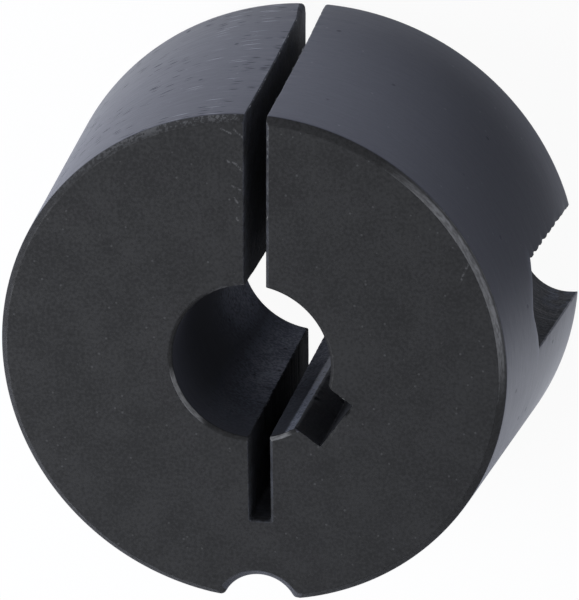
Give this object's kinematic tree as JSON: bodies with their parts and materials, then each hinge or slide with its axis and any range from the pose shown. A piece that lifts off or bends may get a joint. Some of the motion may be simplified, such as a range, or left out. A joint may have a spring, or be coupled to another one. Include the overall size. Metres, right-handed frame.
{
  "type": "taper bush",
  "caption": "Slit round bush with a tapered outside, a keyed bore and half holes in its rim, which clamps a shaft as screws draw it into a tapered hub.",
  "frame": {"origin": "on the axis of the bore, in the plane of the large end face, which the bush stands on", "axes": "+Z along the bore from the large end to the small end, +Y towards the slit, +X towards the screw half hole that is beside the keyway's side of the slit"},
  "size_m": [0.0382, 0.0381, 0.0223],
  "materials": {
    "blackened_iron": "blackened, matt on the end faces, satin on the taper"
  },
  "bodies": {
    "root": {"taper_bush": "blackened_iron"}
  },
  "joints": []
}
